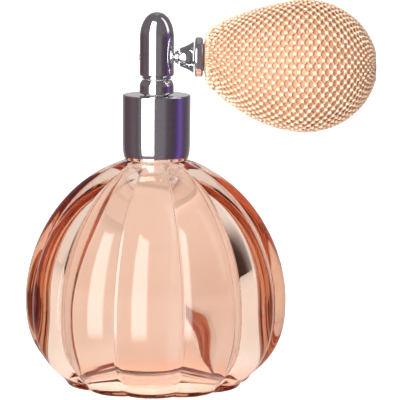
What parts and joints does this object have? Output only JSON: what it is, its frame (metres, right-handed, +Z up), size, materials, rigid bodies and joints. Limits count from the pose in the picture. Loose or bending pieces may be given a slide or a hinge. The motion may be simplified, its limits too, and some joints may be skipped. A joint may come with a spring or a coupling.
{
  "type": "perfume bottle",
  "caption": "Round lobed glass perfume bottle with a tall chrome screw collar, a bullet-shaped spray head and a net-covered squeeze bulb on one side.",
  "frame": {"origin": "on the bottle's axis, in the plane of its flat base", "axes": "+Z up along the bottle's axis, +X from the spray head towards the squeeze bulb, -X is the way it sprays"},
  "size_m": [0.1048, 0.0788, 0.1157],
  "materials": {
    "glass": "thick clear glass with a peach tint, fire-polished",
    "chrome": "bright mirror chrome",
    "white_plastic": "moulded natural plastic",
    "clear_plastic": "translucent extruded tube",
    "rubber": "soft peach rubber, satin",
    "black_rubber": "matt seal rubber",
    "net_thread": "crocheted peach thread net",
    "steel": "polished ball"
  },
  "bodies": {
    "bottle": {"glass_bottle": "glass"},
    "head": {"neck_gasket": "black_rubber", "spray_stem": "white_plastic", "dip_tube": "clear_plastic", "base_ring": "chrome"},
    "closure": {"collar_shell": "chrome", "closure_nut": "white_plastic"},
    "spray_head": {"head_shell": "chrome", "mixing_core": "white_plastic", "nozzle_insert": "chrome", "swivel_seal": "black_rubber", "inlet_stub": "chrome", "trumpet_flare": "chrome", "trumpet_rim": "chrome", "bulb_spigot": "white_plastic", "outlet_valve_seat": "white_plastic", "bulb_clamp_ring": "chrome", "bulb_bladder": "rubber", "bulb_net": "net_thread", "net_gather_ring": "net_thread"},
    "outlet_ball": {"outlet_check_ball": "steel"},
    "bulb_tail": {"tail_valve_body": "white_plastic", "tail_net_ring": "net_thread", "intake_flap": "black_rubber"}
  },
  "joints": [
    {"name": "head_lift", "type": "slide", "parent": "bottle", "child": "head", "axis": [0, 0, 1], "range_m": [0, 0.0036]},
    {"name": "collar_turn", "type": "hinge", "parent": "head", "child": "closure", "pos_m": [0, 0, 0.0773], "axis": [0, 0, 1], "range_deg": [0, 540]},
    {"name": "head_swivel", "type": "hinge", "parent": "head", "child": "spray_head", "pos_m": [0, 0, 0.0947], "axis": [0, 0, 1], "continuous": true},
    {"name": "bulb_squeeze", "type": "slide", "parent": "spray_head", "child": "bulb_tail", "axis": [-1, 0, 0], "range_m": [0, 0.012], "stiffness_N_per_m": 500, "deforming": ["bulb_bladder", "bulb_net"]},
    {"name": "outlet_valve_lift", "type": "slide", "parent": "spray_head", "child": "outlet_ball", "axis": [-1, 0, 0], "range_m": [0, 0.0005]}
  ],
  "couplings": [
    {"joint": "collar_turn", "follows": "head_lift", "rad_per_m": 2618}
  ]
}
